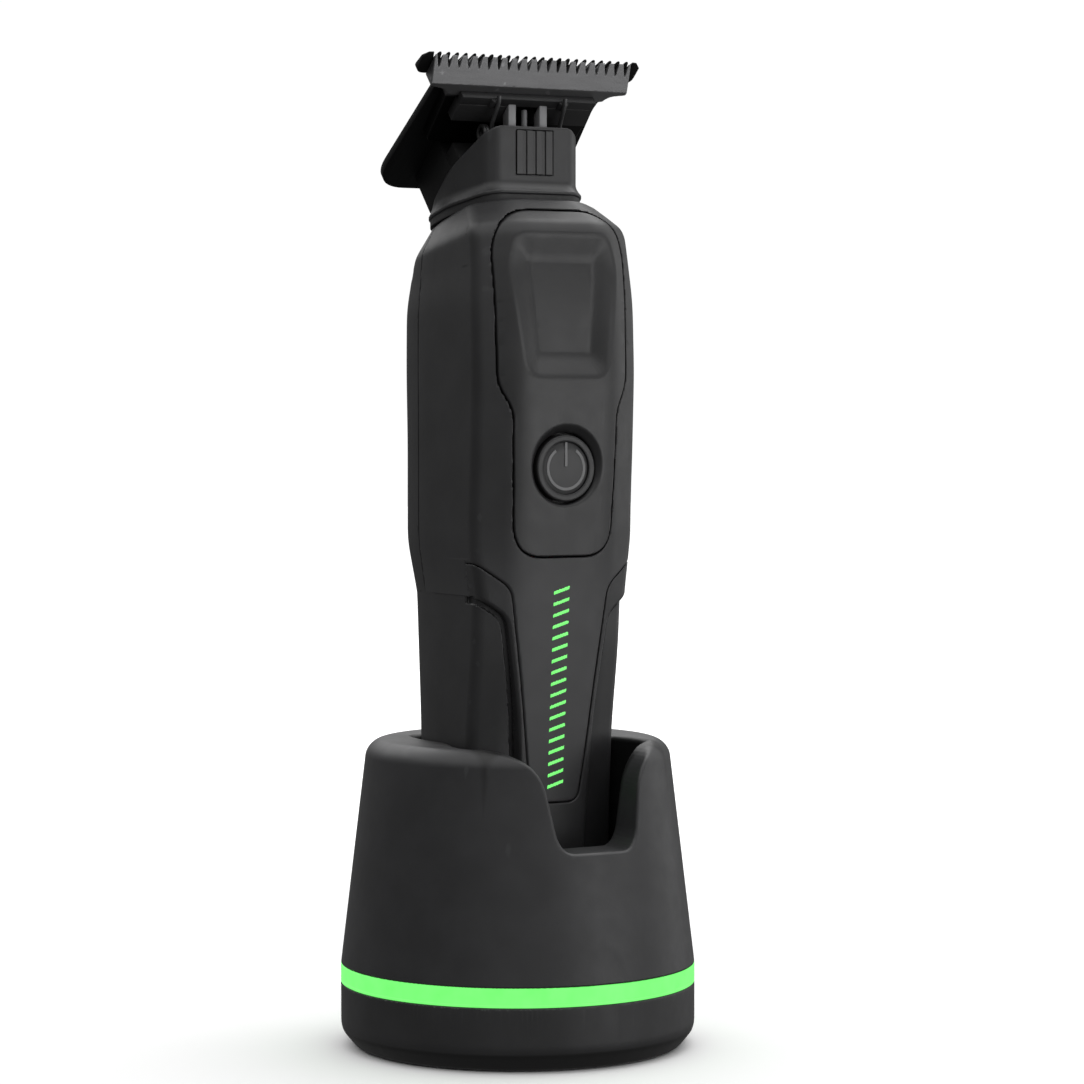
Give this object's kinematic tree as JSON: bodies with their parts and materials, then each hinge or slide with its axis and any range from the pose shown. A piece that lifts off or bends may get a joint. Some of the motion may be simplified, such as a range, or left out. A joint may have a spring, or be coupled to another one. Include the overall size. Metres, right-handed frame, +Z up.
{
  "type": "cordless hair clipper",
  "caption": "Matt black cordless T-blade hair clipper standing in a round charging dock with a green light ring; the clipper lifts out, the button presses and the cutter slides.",
  "frame": {"origin": "centre of the dock's underside, on the surface it stands on", "axes": "+Z up along the clipper, -Y towards the power button side, +X to the viewer's right"},
  "size_m": [0.066, 0.066, 0.1831],
  "materials": {
    "dock_plastic": "matt black moulded plastic",
    "green_light": "translucent green, lit from inside",
    "tray_plastic": "matt black moulded plastic",
    "foot_rubber": "soft black rubber",
    "plated_steel": "zinc plated",
    "board": "solder-masked board",
    "led_white": "clear resin",
    "inner_plastic": "black engineering plastic",
    "gold_contact": "gold plated",
    "spring_steel": "spring steel",
    "screw_steel": "plated",
    "soft_touch": "matt black soft-touch coating",
    "panel_plastic": "matt black, slightly finer texture",
    "icon_grey": "printed grey",
    "seal_rubber": "black silicone rubber",
    "battery_wrap": "shrink sleeve",
    "lead_sleeve": "silicone insulation",
    "cast_alloy": "die cast",
    "cam_grey": "acetal",
    "badge_black": "satin black",
    "blade_black": "black carbon coating on steel",
    "blade_grey": "dark grey coating on steel",
    "yoke_grey": "dark grey acetal",
    "screw_black": "black oxide"
  },
  "bodies": {
    "dock": {"dock_shell": "dock_plastic", "light_ring": "green_light", "base_tray": "tray_plastic", "foot_ring": "foot_rubber", "ballast_plate": "plated_steel", "dock_board": "board", "leds": "led_white", "usb_socket": "plated_steel", "contact_block": "inner_plastic", "dock_screws": "screw_steel"},
    "charging_pins": {"contact_pins": "gold_contact", "contact_springs": "spring_steel"},
    "clipper": {"handle_sleeve": "soft_touch", "bottom_cap": "inner_plastic", "charge_pads": "gold_contact", "front_housing": "soft_touch", "rear_housing": "soft_touch", "spine_frame": "soft_touch", "front_panel": "panel_plastic", "light_strip": "green_light", "button_seat": "seal_rubber", "tact_switch": "plated_steel", "circuit_board": "board", "battery": "battery_wrap", "inner_frame": "inner_plastic", "battery_leads": "lead_sleeve", "motor_can": "plated_steel", "motor_mount": "cast_alloy", "motor_screws": "screw_steel", "neck_seal": "seal_rubber", "head_neck": "soft_touch", "head_badge": "badge_black", "blade_base": "inner_plastic", "fixed_blade": "blade_black", "blade_spring": "spring_steel", "blade_screws": "screw_black", "housing_screws": "screw_black"},
    "button": {"power_button": "panel_plastic", "button_icon": "icon_grey"},
    "rotor": {"rotor_shaft": "spring_steel", "eccentric_cam": "cam_grey"},
    "cutter": {"cutter_blade": "blade_grey", "yoke": "yoke_grey"}
  },
  "joints": [
    {"name": "clipper_lift", "type": "slide", "parent": "dock", "child": "clipper", "axis": [0, 0, 1], "range_m": [0, 0.045]},
    {"name": "charging_pin_press", "type": "slide", "parent": "dock", "child": "charging_pins", "axis": [0, 0, -1], "range_m": [0, 0.0008], "stiffness_N_per_m": 200},
    {"name": "power_button_press", "type": "slide", "parent": "clipper", "child": "button", "axis": [0, 1, 0], "range_m": [0, 0.0005], "stiffness_N_per_m": 1500},
    {"name": "rotor_spin", "type": "hinge", "parent": "clipper", "child": "rotor", "pos_m": [0, -0.0016, 0.16], "axis": [0, 0, 1], "continuous": true},
    {"name": "cutter_stroke", "type": "slide", "parent": "clipper", "child": "cutter", "axis": [1, 0, 0], "range_m": [-0.0008, 0.0008]}
  ]
}
